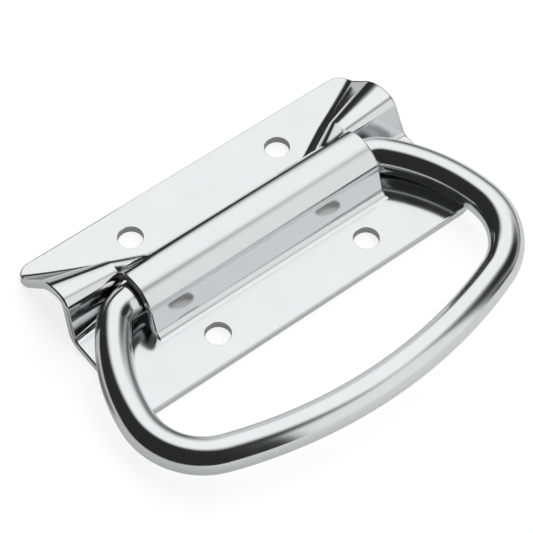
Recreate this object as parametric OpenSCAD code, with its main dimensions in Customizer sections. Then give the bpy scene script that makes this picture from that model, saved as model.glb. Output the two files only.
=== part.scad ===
// Surface-mounted chest handle: a stamped sheet plate with a half-tube boss,
// and a round-rod bail that swings in the boss. Millimetres, +Z up from the back face.
// The origin is the middle of the screw pattern; the bail lies towards -Y.

/* [Plate] */
// Plate length, along the boss
plate_l = 101; // [98:0.5:108]
// Plate width, front to back
plate_w = 52.2; // [51:0.2:60]
// How far the plate's middle lies behind the screw pattern's middle
plate_shift = 0.7; // [0:0.1:1.5]
// Corner radius of the plate
corner_r = 4; // [1:0.5:6]
// Sheet thickness
sheet_t = 2; // [1.4:0.1:2.2]

/* [Screw holes] */
// Hole spacing along the boss
hole_pitch_x = 45; // [36:1:50]
// Hole spacing across the boss
hole_pitch_y = 35.2; // [34.4:0.2:38]
// Hole diameter
hole_d = 6.3; // [4:0.1:6.6]

/* [Boss] */
// Boss length between its open ends
boss_l = 69; // [64:1:70]
// Height of the hinge axis above the back face
axis_z = 7.5; // [7.2:0.1:8.4]
// How far the hinge axis lies in front of the screw pattern's middle
axis_forward = 0.7; // [0:0.1:1]
// Radial room between the rod and the inside of the boss
rod_room = 0.95; // [0.3:0.05:1]
// Steepness of the boss's front flank, degrees
boss_front_angle = 76; // [70:1:82]
// Steepness of the boss's rear flank, degrees
boss_rear_angle = 70; // [68:1:78]
// Concave fillet along the boss's front foot
boss_front_fillet = 2.6; // [1:0.1:3]
// Concave fillet along the boss's rear foot
boss_rear_fillet = 4.5; // [2:0.1:5]

/* [Flares] */
// Height of the flare's ridge at the plate's end
flare_top_end = 13.3; // [12:0.1:14]
// Height of the flare's ridge next to the boss
flare_top_boss = 11.6; // [11.2:0.1:12.4]
// Radius of the ridge's front half at the plate's end
flare_r_end = 3.5; // [3:0.1:4]
// Radius of the ridge's front half next to the boss
flare_r_boss = 2.6; // [2.5:0.1:3.2]
// Radius of the ridge's rear half at the plate's end
flare_rear_r_end = 11.5; // [9:0.5:12]
// Radius of the ridge's rear half next to the boss
flare_rear_r_boss = 5; // [3.5:0.1:5.2]
// Top of the ridge behind the hinge axis, at the plate's end
flare_back_end = 8.3; // [8:0.1:9]
// Top of the ridge behind the hinge axis, next to the boss
flare_back_boss = 7.7; // [7.5:0.1:8.2]
// Front foot behind the hinge axis, at the plate's end
flare_foot_end = 1.8; // [1.2:0.1:2.4]
// Front foot behind the hinge axis, next to the boss
flare_foot_boss = 4.8; // [4.6:0.1:5]
// Rear foot behind the hinge axis, at the plate's end
flare_rear_end = 24.1; // [22.5:0.1:24.5]
// Rear foot behind the hinge axis, next to the boss
flare_rear_boss = 15.1; // [14.5:0.1:15.8]
// How far the line of the rear foot bows in midway
flare_bow = 0.3; // [0:0.1:1.2]
// Concave fillet along the flare's rear foot, at the plate's end
flare_rear_fillet_end = 6.5; // [4:0.1:8]
// Concave fillet along the flare's rear foot, next to the boss
flare_rear_fillet_boss = 4.5; // [2:0.1:5]
// Concave fillet along the flare's front foot
flare_front_fillet = 1.6; // [1:0.1:2]
// Length of the gusset that runs each flare into the boss's rear flank
gusset_l = 10; // [7:0.5:11]
// How far the drawn-up edge is pulled in at the top of the flare
edge_pull = 1; // [0:0.1:1.5]

/* [Bail] */
// Rod diameter
rod_d = 8.8; // [8:0.1:9]
// How much the rod's diameter shrinks in the tight bends
bend_thinning = 0.1; // [0.06:0.02:0.2]
// Half distance between the first bends
pin_half = 33.9; // [33.2:0.1:36]
// Length of each straight pin inside the boss
pin_l = 24; // [16:1:30]
// Chamfer on the pin ends
pin_chamfer = 0.8; // [0.2:0.1:1.5]
// Knee next to the boss: centre-line radius
knee_r = 9; // [8:0.5:12]
// Knee next to the boss: angle, degrees
knee_a = 48.6; // [44:0.2:52]
// Arm sweep: centre-line radius
arm_r = 45.6; // [42:0.2:50]
// Arm sweep: angle, degrees
arm_a = 34.2; // [30:0.2:37]
// Corner bend: centre-line radius
elbow_r = 17.1; // [14:0.1:20]
// Corner bend: angle, degrees
elbow_a = 77.3; // [72:0.1:84]
// Droop at rest, so that the arms lie on the plate's front edge, degrees
droop = 1.9; // [0:0.1:2]
// Side play taken up to the left
side_play = 1.5; // [0:0.1:1.6]

/* [Hidden] */
$fn = 64;
axis_y = -axis_forward;
boss_ri = rod_d / 2 + rod_room;
boss_ro = boss_ri + sheet_t;
boss_x = boss_l / 2;
end_x = plate_l / 2;
// The flare has its full section from just inside the boss's open end
apex_x = boss_x - 0.3;
gusset_x = apex_x - gusset_l;
// How far inside the boss's own section the gusset starts
gusset_set = 0.5;
// How far the flare's feet sink into the sheet, and its end stands back from the plate's edge
foot_sink = 0.02;
edge_set = 0.05;
bend_lap = 0.1;
cut = 1;
steel = [0.8, 0.81, 0.82];
// Number of facets along a fillet, around each half of the ridge, and along flare and gusset
fillet_n = 5;
ridge_n = 9;
flare_n = 6;
gusset_n = 8;

function mix(a, b, k) = a + (b - a) * k;

// Steepness of the flank from a foot on the plate to a ridge circle
function flank(c, r, foot, side) =
    let (d = norm([c.x - foot, c.y - sheet_t]))
    atan2(c.y - sheet_t, side * (c.x - foot)) + asin(r / d);

// Middle of the concave fillet at a foot
function fillet_mid(foot, a, f, side) = [foot - side * f * tan(a / 2), sheet_t + f];

// Arc of the fillet at a foot, from the plate up the flank
function fillet_arc(foot, a, f, side, inset) =
    let (m = fillet_mid(foot, a, f, side))
    [for (i = [0 : fillet_n]) let (p = a * i / fillet_n)
        m + (f + inset) * [side * sin(p), -cos(p)] - [0, i == 0 ? foot_sink : 0]];

// A flare section: [top of the ridge, front and rear ridge radius, front and rear foot,
// front and rear fillet], at a distance along X
function flare_at(x) = x >= apex_x
    ? flare_open((x - apex_x) / (end_x - apex_x))
    : flare_gusset((x - gusset_x) / gusset_l);

function flare_open(k) = [
    [axis_y + mix(flare_back_boss, flare_back_end, k), mix(flare_top_boss, flare_top_end, k)],
    [mix(flare_r_boss, flare_r_end, k), mix(flare_rear_r_boss, flare_rear_r_end, k)],
    [axis_y + mix(flare_foot_boss, flare_foot_end, k),
        axis_y + mix(flare_rear_boss, flare_rear_end, k) - 4 * flare_bow * k * (1 - k)],
    [flare_front_fillet, mix(flare_rear_fillet_boss, flare_rear_fillet_end, k)]];

// The gusset runs from the boss's own section into the flare's section next to the boss
function flare_gusset(e) = [for (i = [0 : 3]) mix(gusset_start[i], flare_open(0)[i], e)];

// Section of the flare's outside (inset 0) or inside (inset sheet_t), front to rear, as [y, z]
function flare_section(s, inset) =
    let (c = [for (r = s[1]) s[0] - [0, r]])
    let (af = flank(c[0], s[1][0], s[2][0], 1))
    let (ar = flank(c[1], s[1][1], s[2][1], -1))
    let (rear = fillet_arc(s[2][1], ar, s[3][1], -1, inset))
    concat(
        [[s[2][0] - s[3][0] * tan(af / 2), inset > 0 ? -cut : sheet_t / 2]],
        fillet_arc(s[2][0], af, s[3][0], 1, inset),
        [for (i = [0 : ridge_n]) let (p = -af * (1 - i / ridge_n))
            c[0] + (s[1][0] - inset) * [sin(p), cos(p)]],
        [for (i = [1 : ridge_n]) let (p = ar * i / ridge_n)
            c[1] + (s[1][1] - inset) * [sin(p), cos(p)]],
        [for (i = [fillet_n : -1 : 0]) rear[i]],
        [[s[2][1] + s[3][1] * tan(ar / 2), inset > 0 ? -cut : sheet_t / 2]]);

// Stations along X; the last one lies past the plate's end, which trims the flare
flare_xs = concat(
    [for (i = [0 : gusset_n - 1]) gusset_x + gusset_l * i / gusset_n],
    [for (i = [0 : flare_n]) mix(apex_x, end_x + cut, i / flare_n)]);

// Closed loft through the flare sections
module flare_loft(inset) {
    rings = [for (x = flare_xs) flare_section(flare_at(x), inset)];
    n = len(rings[0]);
    m = len(rings);
    points = [for (j = [0 : m - 1]) for (p = rings[j]) [flare_xs[j], p.x, p.y]];
    sides = [for (j = [0 : m - 2]) for (i = [0 : n - 1]) let (k = (i + 1) % n)
        for (t = [0, 1]) t == 0
            ? [j * n + i, (j + 1) * n + k, (j + 1) * n + i]
            : [j * n + i, j * n + k, (j + 1) * n + k]];
    first = [for (i = [n - 1 : -1 : 0]) i];
    last = [for (i = [0 : n - 1]) (m - 1) * n + i];
    polyhedron(points, concat(sides, [first, last]));
}

// What trims the drawn-up end edge, which leans in with height
module edge_trim() {
    translate([end_x - edge_set, 0, sheet_t])
        rotate([0, -atan(edge_pull / (flare_top_end - sheet_t)), 0])
            translate([0, -plate_w, 0])
                cube([plate_l, 2 * plate_w, 2 * flare_top_end]);
}

// Lays a [y, z] section along X, middled on the origin
module along_x(l) {
    rotate([90, 0, 90])
        linear_extrude(height = l, center = true)
            children();
}

// Foot of a boss flank: [foot y, flank angle, fillet radius, side]
function boss_foot(a, f, side) =
    [axis_y - side * (boss_ro * sin(a) + (axis_z + boss_ro * cos(a) - sheet_t) / tan(a)), a, f, side];

boss_front = boss_foot(boss_front_angle, boss_front_fillet, 1);
boss_rear = boss_foot(boss_rear_angle, boss_rear_fillet, -1);

gusset_start = [
    [axis_y, axis_z + boss_ro - gusset_set],
    [boss_ro - gusset_set, boss_ro - gusset_set],
    [boss_front[0] + gusset_set, boss_rear[0] - gusset_set],
    [boss_front_fillet, boss_rear_fillet]];

// Where a boss flank leaves the round top of the boss, for a given radius
function boss_touch(foot, r) = [axis_y, axis_z] + r * [-foot[3] * sin(foot[1]), cos(foot[1])];

// Where a boss flank of a given inset meets its foot fillet
function boss_tangent(foot, inset) =
    fillet_mid(foot[0], foot[1], foot[2], foot[3])
        + (foot[2] + inset) * [foot[3] * sin(foot[1]), -cos(foot[1])];

// Corner between a flank and the plate, filled or opened up to the fillet's arc
module boss_foot_fill(foot, inset) {
    mid = fillet_mid(foot[0], foot[1], foot[2], foot[3]);
    inner = boss_tangent(foot, inset);
    difference() {
        polygon([
            [mid.x, mid.y],
            inner,
            [inner.x, sheet_t - inset - cut],
            [mid.x, sheet_t - inset - cut]]);
        translate(mid)
            circle(r = foot[2] + inset);
    }
}

// Solid section of the boss, outside (inset 0) or inside (inset sheet_t)
module boss_section(inset) {
    r = boss_ro - inset;
    f = boss_tangent(boss_front, inset);
    b = boss_tangent(boss_rear, inset);
    translate([axis_y, axis_z])
        circle(r = r);
    polygon([
        boss_touch(boss_front, r),
        f,
        [f.x, sheet_t - inset - cut],
        [b.x, sheet_t - inset - cut],
        b,
        boss_touch(boss_rear, r)]);
    boss_foot_fill(boss_front, inset);
    boss_foot_fill(boss_rear, inset);
}

// Outline of the flat plate
module plate_outline(inset = 0) {
    l = plate_l - 2 * inset;
    w = plate_w - 2 * inset;
    r = corner_r - inset;
    translate([0, plate_shift]) {
        square([l - 2 * r, w], center = true);
        square([l, w - 2 * r], center = true);
        for (sx = [-1, 1], sy = [-1, 1])
            translate([sx * (l / 2 - r), sy * (w / 2 - r)])
                circle(r = r);
    }
}

// Outside of one flare, trimmed to the plate's end
module flare_body() {
    difference() {
        intersection() {
            flare_loft(0);
            linear_extrude(height = 2 * flare_top_end)
                plate_outline(edge_set);
        }
        edge_trim();
    }
}

module both_ends() {
    children();
    mirror([1, 0, 0])
        children();
}

module mounting_plate() {
    color(steel)
    difference() {
        union() {
            linear_extrude(height = sheet_t)
                plate_outline();
            along_x(boss_l)
                boss_section(0);
            both_ends()
                flare_body();
        }
        along_x(boss_l)
            boss_section(sheet_t);
        both_ends()
            flare_loft(sheet_t);
        for (sx = [-1, 1], sy = [-1, 1])
            translate([sx * hole_pitch_x / 2, sy * hole_pitch_y / 2, -cut])
                cylinder(d = hole_d, h = sheet_t + 2 * cut);
    }
}

// Rod path: a state is [x, y, heading], turning left
function after_arc(s, r, a) =
    [s.x + r * (sin(s[2] + a) - sin(s[2])), s.y + r * (cos(s[2]) - cos(s[2] + a)), s[2] + a];

knee_start = [pin_half, 0, 0];
arm_start = after_arc(knee_start, knee_r, knee_a);
elbow_start = after_arc(arm_start, arm_r, arm_a);
grip_start = after_arc(elbow_start, elbow_r, elbow_a);
// The grip's bow closes the loop
grip_a = 180 - grip_start[2];
grip_r = grip_start.x / sin(grip_a);

// Rod along an arc of the path, at full diameter
module rod_sweep(s, r, a, d = rod_d) {
    translate([s.x - r * sin(s[2]), s.y + r * cos(s[2]), 0])
        rotate(s[2] - 90)
            rotate_extrude(angle = a)
                translate([r, 0])
                    circle(d = d);
}

// Tight bend: a little thinner, and let into the rod at both ends
module rod_bend(s, r, a) {
    lap = bend_lap / r * 180 / PI;
    rod_sweep(after_arc(s, r, -lap), r, a + 2 * lap, rod_d - bend_thinning);
}

// Straight pin in the boss, with a chamfered end
module pin() {
    r = rod_d / 2;
    translate([pin_half - pin_l, 0, 0])
        rotate([0, 90, 0])
            rotate_extrude()
                polygon([
                    [0, 0],
                    [r - pin_chamfer, 0],
                    [r, pin_chamfer],
                    [r, pin_l],
                    [0, pin_l]]);
}

module bail_half() {
    pin();
    rod_bend(knee_start, knee_r, knee_a);
    rod_sweep(arm_start, arm_r, arm_a);
    rod_bend(elbow_start, elbow_r, elbow_a);
}

module bail_handle() {
    color(steel)
    translate([-side_play, axis_y, axis_z])
        rotate([180 + droop, 0, 0])
            union() {
                both_ends()
                    bail_half();
                rod_sweep(grip_start, grip_r, 2 * grip_a);
            }
}

mounting_plate();
bail_handle();
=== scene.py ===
import math

import bpy
import numpy as np
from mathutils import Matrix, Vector
from mathutils.geometry import tessellate_polygon


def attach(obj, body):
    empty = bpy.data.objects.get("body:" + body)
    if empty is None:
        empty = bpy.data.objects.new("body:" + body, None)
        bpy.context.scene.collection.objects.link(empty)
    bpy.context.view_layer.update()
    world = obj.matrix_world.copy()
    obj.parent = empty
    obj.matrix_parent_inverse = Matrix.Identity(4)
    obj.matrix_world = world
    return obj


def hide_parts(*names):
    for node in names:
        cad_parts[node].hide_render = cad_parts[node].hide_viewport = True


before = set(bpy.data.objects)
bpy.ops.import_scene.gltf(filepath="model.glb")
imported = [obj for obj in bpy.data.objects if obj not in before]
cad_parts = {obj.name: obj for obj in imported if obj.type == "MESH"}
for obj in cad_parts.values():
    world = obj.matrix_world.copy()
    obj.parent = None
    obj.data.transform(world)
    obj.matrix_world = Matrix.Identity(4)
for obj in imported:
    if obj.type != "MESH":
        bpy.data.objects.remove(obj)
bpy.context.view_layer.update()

MM = 0.001
UP = (0.0, 0.0, 1.0)
DOWN = (0.0, 0.0, -1.0)
RIGHT = (1.0, 0.0, 0.0)
LEFT = (-1.0, 0.0, 0.0)

# Plate and screw holes, in millimetres and degrees as all sizes of the part
PLATE_L = 101.0
PLATE_W = 52.2
PLATE_SHIFT = 0.7
CORNER_R = 4.0
SHEET_T = 2.0
HOLE_PITCH_X = 45.0
HOLE_PITCH_Y = 35.2
HOLE_D = 6.3

# Boss, with its axis, flanks and foot fillets
BOSS_L = 69.0
AXIS_Y = -0.7
AXIS_Z = 7.5
BOSS_RO = 7.35
BOSS_FRONT_A = 76.0
BOSS_REAR_A = 70.0
BOSS_FRONT_F = 2.6
BOSS_REAR_F = 4.5

# Flares, with pairs for the boss's end and the plate's end
FLARE_TOP = (11.6, 13.3)      # height of the ridge
FLARE_R = (2.6, 3.5)          # its front radius
FLARE_REAR_R = (5.0, 11.5)    # and its rear radius
FLARE_BACK = (7.7, 8.3)       # ridge behind the axis
FLARE_FOOT = (4.8, 1.8)       # front foot behind the axis
FLARE_REAR = (15.1, 24.1)     # rear foot behind the axis
FLARE_BOW = 0.3               # bow of the rear foot line
FLARE_REAR_F = (4.5, 6.5)     # fillet at the rear foot
FLARE_FRONT_F = 1.6           # fillet at the front foot
GUSSET_L = 10.0
GUSSET_SET = 0.5              # start of the gusset inside the boss's skin
APEX_SET = 0.3                # start of the flare inside the boss's end
EDGE_PULL = 1.0               # lean of the plate's end at the ridge

# Bail, with the radius and angle of each bend
ROD_R = 4.4
PIN_HALF = 33.9
PIN_L = 24.0
PIN_CHAMFER = 0.8
KNEE = (9.0, 48.6)
ARM = (45.6, 34.2)
ELBOW = (17.1, 77.3)
DROOP = 1.9
SIDE_PLAY = 1.5

END_X = PLATE_L / 2
BOSS_X = BOSS_L / 2
APEX_X = BOSS_X - APEX_SET
GUSSET_X = APEX_X - GUSSET_L
FRONT_Y = PLATE_SHIFT - PLATE_W / 2
REAR_Y = PLATE_SHIFT + PLATE_W / 2

# Rounding of the sheet's upper edges, of the boss's ends and of the punched holes
EDGE_R = 0.55
BOSS_EDGE_R = 0.5
HOLE_EDGE_R = 0.18
# Width over which boss and flare run into each other
SADDLE_BLEND = 1.2

# How finely the skins are divided
GUSSET_STATIONS = 28
FLARE_STATIONS = 26
FLARE_COUNTS = (14, 30, 36, 24)
JOINED_N = 220
FINE_N = 2600
WALL_N = 400
CORNER_N = 14
EDGE_N = 4
RIM_N = 5
HOLE_N = 64
RING_N = 80
PIN_N = 6
KNEE_N = 26
ARM_N = 30
ELBOW_N = 44
GRIP_N = 30
END_TRIES = 6                 # rounds that settle where a flare's line ends
SLOPE_STEP = 0.001            # step for a slope, in millimetres
SHARE_STEP = 0.004            # step for a slope, as a share of a flare
LEAST_EDGE = 0.004            # lowest cut edge that gets a face
LEAST_BLEND = 1e-6
BLEND_SHARE = 0.8             # most of the lower form's height that a blend may take

# Finishes, each with name, colour, roughness from and to, grain, and strength of the polishing marks
STEEL = (0.85, 0.855, 0.86)
SHEET_FINISHES = [
    ("polished_sheet_steel", STEEL, (0.11, 0.14), 120.0, 0.05),
    ("sheared_edge_steel", STEEL, (0.3, 0.4), 400.0, 0.2),
    # the underside and the wall inside the boss get a rougher finish and a darker colour that is painted
    # shade
    ("dull_shaded_inside_steel", (0.3, 0.3, 0.305), (0.42, 0.5), 120.0, 0.1),
    # the holes' walls get a rough punched finish and a darker colour that is painted shade
    ("punched_shaded_wall_steel", (0.45, 0.45, 0.455), (0.28, 0.36), 900.0, 0.3),
]
ROD_FINISHES = [("polished_rod_steel", STEEL, (0.11, 0.14), 120.0, 0.05)]
POLISHED, SHEARED, DULL_SHADED, PUNCHED_SHADED = range(4)


def mix(a, b, k):
    return a + (b - a) * k


def unit(v):
    v = np.array(v)
    return v / np.linalg.norm(v)


def mirrored(corners):
    """(point, normal) pairs at the part's other end."""
    return [((-p[0], p[1], p[2]), (-n[0], n[1], n[2])) for p, n in corners]


# Skins

class Skin:
    """Faces with a normal at every corner; points that coincide are welded."""

    def __init__(self):
        self.points, self.index = [], {}
        self.faces, self.normals, self.finishes = [], [], []

    def vertex(self, p):
        key = (round(p[0], 4), round(p[1], 4), round(p[2], 4))
        if key not in self.index:
            self.index[key] = len(self.points)
            self.points.append(key)
        return self.index[key]

    def face(self, corners, finish=POLISHED):
        """corners: (point, normal) pairs; the winding follows the normals."""
        ids, normals = [], []
        for p, n in corners:
            i = self.vertex(p)
            if i not in ids:
                ids.append(i)
                normals.append(n)
        if len(ids) < 3:
            return
        pts = [self.points[i] for i in ids]
        turn = 0.0
        for k in range(3):
            u, v = (k + 1) % 3, (k + 2) % 3
            area = sum(a[u] * b[v] - a[v] * b[u] for a, b in zip(pts, pts[1:] + pts[:1]))
            turn += area * sum(n[k] for n in normals)
        if turn < 0:
            ids.reverse()
            normals.reverse()
        self.faces.append(ids)
        self.normals.extend(normals)
        self.finishes.append(finish)

    def both(self, corners, finish=POLISHED):
        """The face and its mirror image at the other end."""
        self.face(corners, finish)
        self.face(mirrored(corners), finish)

    def grid(self, rows, finish=POLISHED, both=False):
        add = self.both if both else self.face
        for a, b in zip(rows, rows[1:]):
            for i in range(len(a) - 1):
                add([a[i], a[i + 1], b[i + 1], b[i]], finish)

    def flat(self, loops, z, normal, finish):
        """Flat faces inside the first loop and outside the others."""
        pts = [p for loop in loops for p in loop]
        for tri in tessellate_polygon([[Vector((p[0], p[1], 0)) for p in loop] for loop in loops]):
            self.face([((pts[i][0], pts[i][1], z), normal) for i in tri], finish)

    def build(self, name, finishes):
        mesh = bpy.data.meshes.new(name)
        mesh.from_pydata([[c * MM for c in p] for p in self.points], [], self.faces)
        mesh.polygons.foreach_set("use_smooth", [True] * len(mesh.polygons))
        mesh.polygons.foreach_set("material_index", self.finishes)
        mesh.normals_split_custom_set([tuple(n) for n in self.normals])
        mesh.update()
        for finish in finishes:
            mesh.materials.append(steel(*finish))
        obj = bpy.data.objects.new(name, mesh)
        bpy.context.scene.collection.objects.link(obj)
        return obj


# Sections of the stamped sheet

def flank(c, r, foot, side):
    """Steepness of the flank from a foot on the plate to a ridge circle."""
    d = math.hypot(c[0] - foot, c[1] - SHEET_T)
    return math.atan2(c[1] - SHEET_T, side * (c[0] - foot)) + math.asin(r / d)


class Section:
    """A raised form across Y: two feet with concave fillets, two flanks, and a ridge whose rear
    half has a radius of its own."""

    def __init__(self, top, radii, feet, fillets):
        self.r, self.f = radii, fillets
        self.c = [(top[0], top[1] - r) for r in radii]
        self.a = [flank(self.c[k], radii[k], feet[k], 1 - 2 * k) for k in (0, 1)]
        self.mid = (feet[0] - fillets[0] * math.tan(self.a[0] / 2),
                    feet[1] + fillets[1] * math.tan(self.a[1] / 2))

    def height(self, y, inset):
        """Height at y of the outside (inset 0) or of the inside (inset SHEET_T)."""
        base = SHEET_T - inset
        z = np.full_like(y, base)
        for k, side in ((0, 1.0), (1, -1.0)):
            f, a, r = self.f[k] + inset, self.a[k], self.r[k] - inset
            d = side * (y - self.mid[k])
            off = side * (self.c[k][0] - y)
            flank_z = base + f * (1 - math.cos(a)) + (d - f * math.sin(a)) * math.tan(a)
            fillet_z = base + f - np.sqrt(np.maximum(f * f - d * d, 0))
            ridge_z = self.c[k][1] + np.sqrt(np.maximum(r * r - off * off, 0))
            own = np.where(d < f * math.sin(a), fillet_z, np.where(off > r * math.sin(a), flank_z, ridge_z))
            z = np.where((d > 0) & (off >= 0), own, z)
        return z

    def point(self, j, inset):
        """Point j of the outline, front foot to rear foot: y, z and the normal's y, z."""
        mid = [(self.mid[k], SHEET_T + self.f[k]) for k in (0, 1)]
        for count, c, rad, a0, a1, sign in (
                (FLARE_COUNTS[0], mid[0], self.f[0] + inset, math.pi, math.pi - self.a[0], -1),
                (FLARE_COUNTS[1], self.c[0], self.r[0] - inset, -self.a[0], 0.0, 1),
                (FLARE_COUNTS[2], self.c[1], self.r[1] - inset, 0.0, self.a[1], 1),
                (FLARE_COUNTS[3], mid[1], self.f[1] + inset, math.pi + self.a[1], math.pi, -1)):
            if j <= count:
                t = mix(a0, a1, j / count)
                return (c[0] + rad * math.sin(t), c[1] + rad * math.cos(t),
                        sign * math.sin(t), sign * math.cos(t))
            j -= count + 1


def boss_form(inside=0.0):
    """Ridge top, ridge radii, feet and fillets of the boss, or of a section just inside it."""
    feet = []
    for angle, side in ((BOSS_FRONT_A, 1), (BOSS_REAR_A, -1)):
        a = math.radians(angle)
        reach = BOSS_RO * math.sin(a) + (AXIS_Z + BOSS_RO * math.cos(a) - SHEET_T) / math.tan(a)
        feet.append(AXIS_Y - side * (reach - inside))
    r = BOSS_RO - inside
    return (AXIS_Y, AXIS_Z + r), (r, r), feet, (BOSS_FRONT_F, BOSS_REAR_F)


def flare_form(k):
    """The same for a flare, from the boss (0) to the plate's end (1)."""
    return ((AXIS_Y + mix(*FLARE_BACK, k), mix(*FLARE_TOP, k)),
            (mix(*FLARE_R, k), mix(*FLARE_REAR_R, k)),
            (AXIS_Y + mix(*FLARE_FOOT, k),
             AXIS_Y + mix(*FLARE_REAR, k) - 4 * FLARE_BOW * k * (1 - k)),
            (FLARE_FRONT_F, mix(*FLARE_REAR_F, k)))


def flare_section(x):
    """The flare at x, or before its apex the gusset that grows out of the boss."""
    if x >= APEX_X:
        return Section(*flare_form((x - APEX_X) / (END_X - APEX_X)))
    grown = max((x - GUSSET_X) / GUSSET_L, 0.0)
    pairs = zip(boss_form(GUSSET_SET), flare_form(0.0))
    return Section(*[[mix(a[i], b[i], grown) for i in (0, 1)] for a, b in pairs])


BOSS = Section(*boss_form())


# Rows of points across the sheet

def joined_height(x, y, inset):
    """Height where the boss and the flare's gusset run into each other."""
    a = BOSS.height(y, inset)
    if x <= GUSSET_X:
        return a
    b = flare_section(x).height(y, inset)
    grown = min((x - GUSSET_X) / GUSSET_L, 1.0)
    width = np.minimum(SADDLE_BLEND * grown, BLEND_SHARE * (np.minimum(a, b) - (SHEET_T - inset)))
    width = np.maximum(width, LEAST_BLEND)
    return np.maximum(a, b) + np.maximum(width - np.abs(a - b), 0) ** 2 / (4 * width)


def joined_row(x, inset):
    """(point, normal) pairs across boss and gusset at x, evenly spaced along the surface."""
    rear = BOSS.mid[1]
    if x > GUSSET_X:
        rear = max(rear, flare_section(x).mid[1])
    fine = np.linspace(BOSS.mid[0], rear, FINE_N)
    z = joined_height(x, fine, inset)
    along = np.concatenate([[0], np.cumsum(np.hypot(np.diff(fine), np.diff(z)))])
    y = np.interp(np.linspace(0, along[-1], JOINED_N), along, fine)
    z = joined_height(x, y, inset)
    step = SLOPE_STEP
    dy = (joined_height(x, y + step, inset) - joined_height(x, y - step, inset)) / (2 * step)
    dx = (joined_height(x + step, y, inset) - joined_height(x - step, y, inset)) / (2 * step)
    sign = 1.0 if inset == 0 else -1.0
    row = []
    for i in range(JOINED_N):
        n = Vector((-dx[i], -dy[i], 1.0)).normalized() * sign
        row.append(((x, float(y[i]), float(z[i])), tuple(n)))
    return row


def below_boss_edge(y):
    """What lies below the boss's cut edge at y: its own inside, the flare or the plate."""
    return np.maximum(np.maximum(BOSS.height(y, SHEET_T), flare_section(BOSS_X).height(y, 0.0)), SHEET_T)


def boss_edge_rows():
    """Rows round the upper corner of the boss's cut edge, where it stands free."""
    last = joined_row(BOSS_X, 0.0)
    free = np.array([p[2] for p, _ in last]) - below_boss_edge(np.array([p[1] for p, _ in last]))
    shares = np.clip(free / (2 * BOSS_EDGE_R), 0.0, 1.0)
    rows = []
    for i in range(1, RIM_N + 1):
        a = math.pi / 2 * i / RIM_N
        row = []
        for (p, normal), k in zip(joined_row(BOSS_X - BOSS_EDGE_R * (1 - math.sin(a)), 0.0), shares):
            across = unit((0.0, normal[1], normal[2]))
            q = np.array(p) - across * BOSS_EDGE_R * (1 - math.cos(a)) * k
            turned = np.array(normal) * math.cos(a * k) + np.array(RIGHT) * math.sin(a * k)
            row.append((tuple(q), tuple(unit(turned))))
        rows.append(row)
    return rows


def end_at(y):
    """How far the plate's end reaches at y, which its rear corner takes back."""
    past = max(y - (REAR_Y - CORNER_R), 0.0)
    return END_X - CORNER_R + math.sqrt(CORNER_R ** 2 - past ** 2)


def flare_point(j, s, inset, set_in=0.0):
    """Point j of the flare's outline at s from the boss (0) to the leaned-in plate end (1)."""
    end = END_X
    for _ in range(END_TRIES):
        y, z, _, _ = flare_section(end).point(j, inset)
        end = end_at(y) - set_in - EDGE_PULL * max(z - SHEET_T, 0) / (FLARE_TOP[1] - SHEET_T)
    x = mix(BOSS_X, end, s)
    y, z, ny, nz = flare_section(x).point(j, inset)
    return np.array((x, y, z)), np.array((0.0, ny, nz))


def flare_row(s, inset, set_in=0.0):
    """(point, normal) pairs across the flare at s."""
    row = []
    for j in range(sum(FLARE_COUNTS) + len(FLARE_COUNTS)):
        p, n = flare_point(j, s, inset, set_in)
        ahead, _ = flare_point(j, min(s + SHARE_STEP, 1.0), inset, set_in)
        behind, _ = flare_point(j, max(s - SHARE_STEP, 0.0), inset, set_in)
        normal = unit(np.cross((0.0, n[2], -n[1]), ahead - behind))
        if np.dot(normal, n) < 0:
            normal = -normal
        if inset > 0:
            normal = -normal
        row.append((tuple(p), tuple(normal)))
    return row


# The stamped sheet

def rounded_corner(cx, cy, a0, a1, r):
    """(x, y, outward x, outward y) round a plate corner."""
    pts = []
    for i in range(CORNER_N + 1):
        a = math.radians(mix(a0, a1, i / CORNER_N))
        pts.append((cx + r * math.cos(a), cy + r * math.sin(a), math.cos(a), math.sin(a)))
    return pts


def circle(cx, cy, r):
    angles = [2 * math.pi * i / HOLE_N for i in range(HOLE_N)]
    return [(cx + r * math.cos(a), cy + r * math.sin(a)) for a in angles]


def hole_centres(side):
    return [(sx * HOLE_PITCH_X / 2, side * HOLE_PITCH_Y / 2) for sx in (-1, 1)]


def rolled_edge(skin, chain, r, steps, wall):
    """The sheet's edge with a rounded upper corner. chain: (top point, up, out, bottom point)."""
    rows = []
    for p, up, out, _ in chain:
        p, up, out = np.array(p), np.array(up), np.array(out)
        row = []
        for i in range(steps + 1):
            a = math.pi / 2 * i / steps
            n = up * math.cos(a) + out * math.sin(a)
            row.append((tuple(p - (up + out) * r + n * r), tuple(n)))
        rows.append(row)
    skin.grid(rows)
    skin.grid([[row[-1], (low, row[-1][1])] for row, (_, _, _, low) in zip(rows, chain)], wall)


def add_boss_ends(skin, edge):
    """Open ends of the boss: the cut edge of the sheet, and the wall below the opening."""
    y = np.array([p[1] for p, _ in edge])
    upper = np.array([p[2] for p, _ in edge])
    lower = below_boss_edge(y)
    free = upper - lower > LEAST_EDGE
    for i in range(len(y) - 1):
        if free[i] or free[i + 1]:
            quad = ((i, lower), (i + 1, lower), (i + 1, upper), (i, upper))
            skin.both([((BOSS_X, y[k], z[k]), RIGHT) for k, z in quad], SHEARED)
    flare_end = flare_section(BOSS_X)
    y = np.linspace(BOSS.mid[0], BOSS.mid[1], WALL_N)
    upper = np.minimum(BOSS.height(y, SHEET_T), flare_end.height(y, 0.0))
    lower = np.maximum(flare_end.height(y, SHEET_T), 0.0)
    for i in range(WALL_N - 1):
        if upper[i] > lower[i] and upper[i + 1] > lower[i + 1]:
            quad = ((i, lower), (i + 1, lower), (i + 1, upper), (i, upper))
            skin.both([((BOSS_X, y[k], z[k]), LEFT) for k, z in quad], DULL_SHADED)


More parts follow.
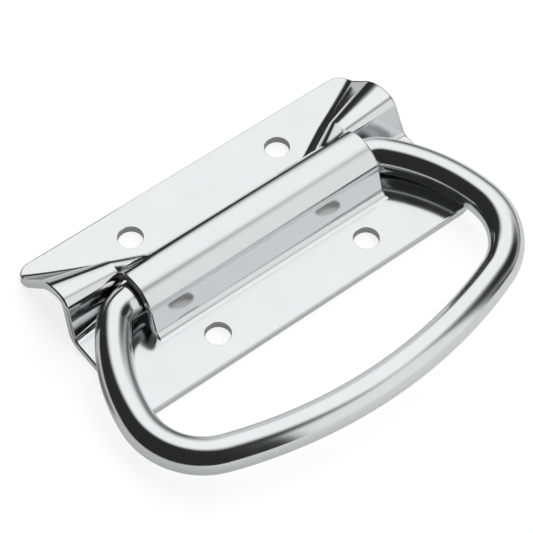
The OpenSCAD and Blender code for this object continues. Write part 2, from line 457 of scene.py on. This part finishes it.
def flat_loop(foot, chain, inset, split):
    """Closed outline of one flat area, right half then its mirror image."""
    half = [(BOSS_X, BOSS.mid[0])] if split else []
    half += [(p[0], p[1]) for p in foot]
    half += [(x - ox * inset, y - oy * inset) for x, y, ox, oy in chain]
    return half + [(-x, y) for x, y in reversed(half)]


def add_flats(skin, joined, flares, chains, top):
    """Flat sheet in front of the raised band and behind it, on its upper or lower face."""
    z, normal, finish = (SHEET_T, UP, POLISHED) if top else (0.0, DOWN, DULL_SHADED)
    inset, hole_r = (EDGE_R, HOLE_D / 2 + HOLE_EDGE_R) if top else (0.0, HOLE_D / 2)
    front_foot = [row[0][0] for row in flares]
    rear_foot = [row[-1][0] for row in joined + flares[1:]]
    for foot, chain, side in ((front_foot, chains[0], -1), (rear_foot, chains[1], 1)):
        holes = [circle(cx, cy, hole_r) for cx, cy in hole_centres(side)]
        skin.flat([flat_loop(foot, chain, inset, side < 0)] + holes, z, normal, finish)


def add_edges(skin, chains, outer, inner):
    """Sheet edges: flat sides with their corners, then the drawn-up ends."""
    for chain in chains:
        whole = chain + [(-x, y, -ox, oy) for x, y, ox, oy in reversed(chain)]
        sides = [((x, y, SHEET_T), UP, (ox, oy, 0.0), (x, y, 0.0)) for x, y, ox, oy in whole]
        rolled_edge(skin, sides, EDGE_R, EDGE_N, SHEARED)
    lean = EDGE_PULL / (FLARE_TOP[1] - SHEET_T)
    for sx in (1.0, -1.0):
        ends = []
        for (p, n), (q, _) in zip(outer, inner):
            swing = math.asin(min(max(p[1] - (REAR_Y - CORNER_R), 0.0) / CORNER_R, 1.0))
            out = unit((math.cos(swing), math.sin(swing), lean))
            ends.append(((sx * p[0], p[1], p[2]), unit((0.0, n[1], n[2])),
                         (sx * out[0], out[1], out[2]), (sx * q[0], q[1], q[2])))
        rolled_edge(skin, ends, EDGE_R, EDGE_N, SHEARED)


def add_holes(skin):
    """Screw holes, with a rolled-over upper rim."""
    for cx, cy in hole_centres(-1) + hole_centres(1):
        rim = circle(cx, cy, HOLE_D / 2)
        chain = []
        for x, y in rim + rim[:1]:
            inward = unit((cx - x, cy - y, 0.0))
            chain.append(((x, y, SHEET_T), UP, inward, (x, y, 0.0)))
        rolled_edge(skin, chain, HOLE_EDGE_R, RIM_N, PUNCHED_SHADED)


def make_plate():
    skin = Skin()

    # Boss and gussets, outside and inside, then the flares
    xs = [mix(GUSSET_X, BOSS_X - BOSS_EDGE_R, i / GUSSET_STATIONS) for i in range(GUSSET_STATIONS + 1)]
    top_joined = [joined_row(x, 0.0) for x in xs] + boss_edge_rows()
    low_joined = [joined_row(x, SHEET_T) for x in xs + [BOSS_X]]
    for rows, finish in ((top_joined, POLISHED), (low_joined, DULL_SHADED)):
        skin.grid([mirrored(rows[0]), rows[0]], finish)
        skin.grid(rows, finish, both=True)
    shares = [i / FLARE_STATIONS for i in range(FLARE_STATIONS + 1)]
    top_flares = [flare_row(s, 0.0, EDGE_R) for s in shares]
    low_flares = [flare_row(s, SHEET_T) for s in shares]
    skin.grid(top_flares, POLISHED, both=True)
    skin.grid(low_flares, DULL_SHADED, both=True)
    add_boss_ends(skin, top_joined[-1])

    # Outline of the plate in front of the flare and behind it, right half
    outer = flare_row(1.0, 0.0)
    corner_x, corner_y = END_X - CORNER_R, REAR_Y - CORNER_R
    from_a = math.degrees(math.asin(max(outer[-1][0][1] - corner_y, 0.0) / CORNER_R))
    front = [(END_X, top_flares[-1][0][0][1], 1.0, 0.0)]
    front += rounded_corner(corner_x, FRONT_Y + CORNER_R, 0, -90, CORNER_R)
    chains = (front, rounded_corner(corner_x, corner_y, from_a, 90, CORNER_R))
    add_flats(skin, top_joined, top_flares, chains, True)
    add_flats(skin, low_joined, low_flares, chains, False)
    add_edges(skin, chains, outer, low_flares[-1])
    add_holes(skin)
    return skin.build("plate_sheet", SHEET_FINISHES)


# The bail

def after_arc(state, r, a):
    x, y, h = state
    h0, h1 = math.radians(h), math.radians(h + a)
    return (x + r * (math.sin(h1) - math.sin(h0)), y + r * (math.cos(h0) - math.cos(h1)), h + a)


def rod_path():
    """(u, v, heading) along half of the bail, from the pin's end to the middle of the grip."""
    state = (PIN_HALF, 0.0, 0.0)
    start = PIN_HALF - PIN_L + PIN_CHAMFER
    path = [(mix(start, PIN_HALF, i / PIN_N), 0.0, 0.0) for i in range(PIN_N + 1)]
    for (r, a), n in ((KNEE, KNEE_N), (ARM, ARM_N), (ELBOW, ELBOW_N)):
        path += [after_arc(state, r, a * i / n) for i in range(1, n + 1)]
        state = after_arc(state, r, a)
    grip_a = 180 - state[2]
    grip_r = state[0] / math.sin(math.radians(grip_a))
    path += [after_arc(state, grip_r, grip_a * i / GRIP_N) for i in range(1, GRIP_N + 1)]
    return path


def drooped(u, v, w):
    """A direction of the bail's own frame, as the bail lies on the plate."""
    droop = math.radians(DROOP)
    return (u, -v * math.cos(droop) + w * math.sin(droop), -v * math.sin(droop) - w * math.cos(droop))


def placed(u, v, w):
    """A point of the bail's own frame, as the bail lies on the plate."""
    x, y, z = drooped(u, v, w)
    return (x - SIDE_PLAY, y + AXIS_Y, z + AXIS_Z)


def ring(u, v, heading, r, mirror, lean=0.0):
    """(point, normal) pairs round the rod; lean tips the normals back along it."""
    a = math.radians(heading)
    side = (math.sin(a), -math.cos(a))
    ahead = (math.cos(a), math.sin(a))
    row = []
    for i in range(RING_N + 1):
        t = 2 * math.pi * (i % RING_N) / RING_N
        c, s = math.cos(t), math.sin(t)
        n = (c * side[0] * math.cos(lean) - ahead[0] * math.sin(lean),
             c * side[1] * math.cos(lean) - ahead[1] * math.sin(lean), s * math.cos(lean))
        row.append((placed(mirror * (u + r * c * side[0]), v + r * c * side[1], r * s),
                    drooped(mirror * n[0], n[1], n[2])))
    return row


def make_bail():
    skin = Skin()
    tip = PIN_HALF - PIN_L
    tip_r = ROD_R - PIN_CHAMFER
    for mirror in (1.0, -1.0):
        skin.grid([ring(u, v, h, ROD_R, mirror) for u, v, h in rod_path()])
        skin.grid([ring(tip, 0.0, 0.0, tip_r, mirror, math.pi / 4),
                   ring(tip + PIN_CHAMFER, 0.0, 0.0, ROD_R, mirror, math.pi / 4)])
        skin.face(ring(tip, 0.0, 0.0, tip_r, mirror, math.pi / 2)[:-1])
    return skin.build("bail_rod", ROD_FINISHES)


# Materials

def add_math(tree, op, a, b):
    """Output of a Math node; a is a socket, b a socket or a number."""
    node = tree.nodes.new("ShaderNodeMath")
    node.operation = op
    tree.links.new(a, node.inputs[0])
    if isinstance(b, bpy.types.NodeSocket):
        tree.links.new(b, node.inputs[1])
    else:
        node.inputs[1].default_value = b
    return node.outputs["Value"]


def add_vector_math(tree, op, value, operand):
    node = tree.nodes.new("ShaderNodeVectorMath")
    node.operation = op
    node.inputs[1].default_value = operand
    tree.links.new(value, node.inputs[0])
    return node.outputs["Value"] if op in ("DOT_PRODUCT", "DISTANCE") else node.outputs["Vector"]


def add_ramp(tree, value, span, levels=(0.0, 1.0), kind="SMOOTHSTEP"):
    node = tree.nodes.new("ShaderNodeMapRange")
    node.interpolation_type = kind
    node.inputs["From Min"].default_value, node.inputs["From Max"].default_value = span
    node.inputs["To Min"].default_value, node.inputs["To Max"].default_value = levels
    tree.links.new(value, node.inputs["Value"])
    return node.outputs["Result"]


def add_noise(tree, place, scale, detail):
    node = tree.nodes.new("ShaderNodeTexNoise")
    node.inputs["Scale"].default_value = scale
    node.inputs["Detail"].default_value = detail
    tree.links.new(place, node.inputs["Vector"])
    return node.outputs["Fac"]


# Unevenness of the metal, and the polishing marks drawn out along the part
CLOUD_DETAIL = 4.0
CLOUD_SPAN = (0.3, 0.7)
CLOUD_TINT = (0.97, 1.0)
MARKS_STRETCH = (40.0, 900.0, 900.0)
MARKS_SCALE = 4.0
MARKS_DETAIL = 3.0
MARKS_DEPTH = 0.00002


def steel(name, colour, rough, grain, marks):
    """Bare metal: slight unevenness of tint and gloss, faint polishing marks."""
    mat = bpy.data.materials.new(name)
    mat.use_nodes = True
    tree = mat.node_tree
    bsdf = tree.nodes["Principled BSDF"]
    bsdf.inputs["Metallic"].default_value = 1.0
    place = tree.nodes.new("ShaderNodeTexCoord").outputs["Object"]
    cloud = add_noise(tree, place, grain, CLOUD_DETAIL)
    shade = tree.nodes.new("ShaderNodeVectorMath")
    shade.operation = "SCALE"
    shade.inputs[0].default_value = colour
    tree.links.new(add_ramp(tree, cloud, CLOUD_SPAN, CLOUD_TINT, "LINEAR"), shade.inputs["Scale"])
    tree.links.new(shade.outputs["Vector"], bsdf.inputs["Base Color"])
    tree.links.new(add_ramp(tree, cloud, CLOUD_SPAN, rough, "LINEAR"), bsdf.inputs["Roughness"])
    stretch = tree.nodes.new("ShaderNodeMapping")
    stretch.inputs["Scale"].default_value = MARKS_STRETCH
    tree.links.new(place, stretch.inputs["Vector"])
    rise = tree.nodes.new("ShaderNodeBump")
    rise.inputs["Strength"].default_value = marks
    rise.inputs["Distance"].default_value = MARKS_DEPTH
    streaks = add_noise(tree, stretch.outputs["Vector"], MARKS_SCALE, MARKS_DETAIL)
    tree.links.new(streaks, rise.inputs["Height"])
    tree.links.new(rise.outputs["Normal"], bsdf.inputs["Normal"])
    return mat


# Camera, at the photograph's place

AZIMUTH = -37.79
ELEVATION = 55.14
DISTANCE = 553.17
TARGET = Vector((-0.86, -8.29, 0.0)) * MM
SENSOR = 36.0
FOCAL_PX = 2294.27
FRAME_PX = 533
CLIP_START = 0.01


def make_camera():
    a, e = math.radians(AZIMUTH), math.radians(ELEVATION)
    back = Vector((math.sin(a) * math.cos(e), -math.cos(a) * math.cos(e), math.sin(e)))
    data = bpy.data.cameras.new("photo_camera")
    data.sensor_width = SENSOR
    data.lens = FOCAL_PX * SENSOR / FRAME_PX
    data.clip_start = CLIP_START
    cam = bpy.data.objects.new("photo_camera", data)
    cam.location = TARGET + back * DISTANCE * MM
    cam.rotation_euler = back.to_track_quat("Z", "Y").to_euler()
    bpy.context.scene.collection.objects.link(cam)
    bpy.context.scene.camera = cam


# Edges of light panels, each with a direction, the dot product with it where light starts, and softness
RIGHT_WAY = (0.81, 0.384, 0.444)
OFF_FRONT = ((-0.76, 0.291, -0.582), -0.916, 0.08)
OFF_LOW = ((-0.659, -0.268, 0.703), -0.478, 0.4)
OFF_LEFT = ((0.977, 0.0, 0.214), 0.335, 0.035)
RIGHT_PANEL = [(RIGHT_WAY, 0.53, 0.17), OFF_FRONT, OFF_LOW, OFF_LEFT, (UP, 0.0, 0.25)]
UPPER_PANEL = [(RIGHT_WAY, 0.52, 0.14), OFF_FRONT, OFF_LOW, (UP, 0.43, 0.1)]
FRONT_PANEL = [((0.986, -0.168, 0.023), 0.199, 0.035),
               ((0.097, 0.219, -0.971), -0.905, 0.09),
               ((-0.907, -0.417, -0.064), -0.341, 0.065)]
# Panels with their brightness, and the brightness between them
PANELS = [(RIGHT_PANEL, 1.0), (UPPER_PANEL, 1.0), (FRONT_PANEL, 0.84)]
DARK = 0.026


def make_world():
    """Soft panels with dark between them; the camera sees white instead."""
    world = bpy.data.worlds.new("studio")
    bpy.context.scene.world = world
    world.use_nodes = True
    tree = world.node_tree
    tree.nodes.clear()
    way = tree.nodes.new("ShaderNodeTexCoord").outputs["Generated"]
    light = DARK
    for edges, level in PANELS:
        panel = level
        for direction, offset, soft in edges:
            along = add_vector_math(tree, "DOT_PRODUCT", way, direction)
            panel = add_math(tree, "MULTIPLY", add_ramp(tree, along, (offset - soft, offset + soft)), panel)
        light = add_math(tree, "MAXIMUM", panel, light)
    seen = tree.nodes.new("ShaderNodeLightPath").outputs["Is Camera Ray"]
    shader = tree.nodes.new("ShaderNodeBackground")
    shader.inputs["Color"].default_value = (1, 1, 1, 1)
    tree.links.new(add_math(tree, "MAXIMUM", light, seen), shader.inputs["Strength"])
    out = tree.nodes.new("ShaderNodeOutputWorld")
    tree.links.new(shader.outputs["Background"], out.inputs["Surface"])


# White floor in metres, a table cut away behind the part and longer at the rear left
TABLE = [(-0.2, -0.5), (0.5, -0.5), (0.5, 0.046), (-0.02, 0.046), (0.035, 0.2), (0.035, 0.4), (-0.2, 0.4)]
FLOOR_DROP = 0.0001
FLOOR_WHITE = (0.6, 0.6, 0.6, 1)
FLOOR_LIFT = 0.82
# Painted pool of light on the floor: a glow that only the metal mirrors, stronger towards the front right
POOL_WAY = (0.45, -0.9, 0.0)
POOL_SPAN = (0.01, 0.08)
POOL_LIFT = (0.32, 0.5)
# Spots of painted shade on the floor, each with its middle, the stretch of the distance from it, and where
# it ends
SHADE_BESIDE_LEFT = ((-0.064, -0.003, 0.0), (1.0, 0.8, 0.0), (0.007, 0.012))
SHADE_UNDER_BOSS = ((0.0, -0.0007, 0.0), (0.2, 1.0, 0.0), (0.0085, 0.0105))


def outside(tree, place, middle, stretch, span):
    """0 inside a spot of painted shade on the floor, 1 outside it."""
    scaled = add_vector_math(tree, "MULTIPLY", place, stretch)
    centre = tuple(m * k for m, k in zip(middle, stretch))
    return add_ramp(tree, add_vector_math(tree, "DISTANCE", scaled, centre), span)


def one_face(name, points, material):
    """An object with one flat face."""
    mesh = bpy.data.meshes.new(name)
    mesh.from_pydata(points, [], [list(range(len(points)))])
    mesh.materials.append(material)
    obj = bpy.data.objects.new(name, mesh)
    bpy.context.scene.collection.objects.link(obj)
    return obj


def make_floor():
    """Matt white, lifted for the camera and, in a painted pool of light, for what the metal mirrors;
    painted shade under the boss and, in the metal, beside the left end.
    """
    mat = bpy.data.materials.new("floor_white")
    mat.use_nodes = True
    tree = mat.node_tree
    tree.nodes.clear()
    path = tree.nodes.new("ShaderNodeLightPath")
    place = tree.nodes.new("ShaderNodeNewGeometry").outputs["Position"]
    # painted pool of light, seen only in the metal's reflections
    pool = add_ramp(tree, add_vector_math(tree, "DOT_PRODUCT", place, POOL_WAY), POOL_SPAN, POOL_LIFT)
    # painted shade beside the left end takes the pool away there, darkening the metal's reflection
    pool = add_math(tree, "MULTIPLY", pool, outside(tree, place, *SHADE_BESIDE_LEFT))
    pool = add_math(tree, "MULTIPLY", pool, path.outputs["Is Glossy Ray"])
    lift = add_math(tree, "MULTIPLY", path.outputs["Is Camera Ray"], FLOOR_LIFT)
    lift = add_math(tree, "ADD", lift, pool)
    # painted shade under the boss: neither the camera's lift nor the pool there
    lift = add_math(tree, "MULTIPLY", lift, outside(tree, place, *SHADE_UNDER_BOSS))
    glow = tree.nodes.new("ShaderNodeEmission")
    tree.links.new(lift, glow.inputs["Strength"])
    paint = tree.nodes.new("ShaderNodeBsdfDiffuse")
    paint.inputs["Color"].default_value = FLOOR_WHITE
    both = tree.nodes.new("ShaderNodeAddShader")
    tree.links.new(paint.outputs["BSDF"], both.inputs[0])
    tree.links.new(glow.outputs["Emission"], both.inputs[1])
    out = tree.nodes.new("ShaderNodeOutputMaterial")
    tree.links.new(both.outputs["Shader"], out.inputs["Surface"])
    floor = one_face("floor", [(x, y, -FLOOR_DROP) for x, y in TABLE], mat)


# Narrow dark card behind the left end, in metres: a painted dark reflection, seen only in the metal
CARD_LEFT = -0.034
CARD_RIGHT = -0.008
CARD_Y = 0.06
CARD_LOW = 0.0115
CARD_HIGH = 0.026
CARD_BLACK = (0.03, 0.03, 0.03, 1)
CARD_ROUGH = 0.9


def make_card():
    """A card that only the metal mirrors, painting a dark band into the metal's reflection; the camera
    doesn't see it and it casts no shadow.
    """
    mat = bpy.data.materials.new("card_black")
    mat.use_nodes = True
    bsdf = mat.node_tree.nodes["Principled BSDF"]
    bsdf.inputs["Base Color"].default_value = CARD_BLACK
    bsdf.inputs["Roughness"].default_value = CARD_ROUGH
    low = [(CARD_LEFT, CARD_Y, CARD_LOW), (CARD_RIGHT, CARD_Y, CARD_LOW)]
    high = [(CARD_RIGHT, CARD_Y, CARD_HIGH), (CARD_LEFT, CARD_Y, CARD_HIGH)]
    card = one_face("card", low + high, mat)
    card.visible_camera = False
    card.visible_shadow = False


make_camera()
make_world()
make_floor()
make_card()

plate = make_plate()
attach(plate, "plate")
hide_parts("mounting_plate")

bail = make_bail()
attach(bail, "bail")
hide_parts("bail_handle")

bpy.context.scene.view_settings.view_transform = "Standard"
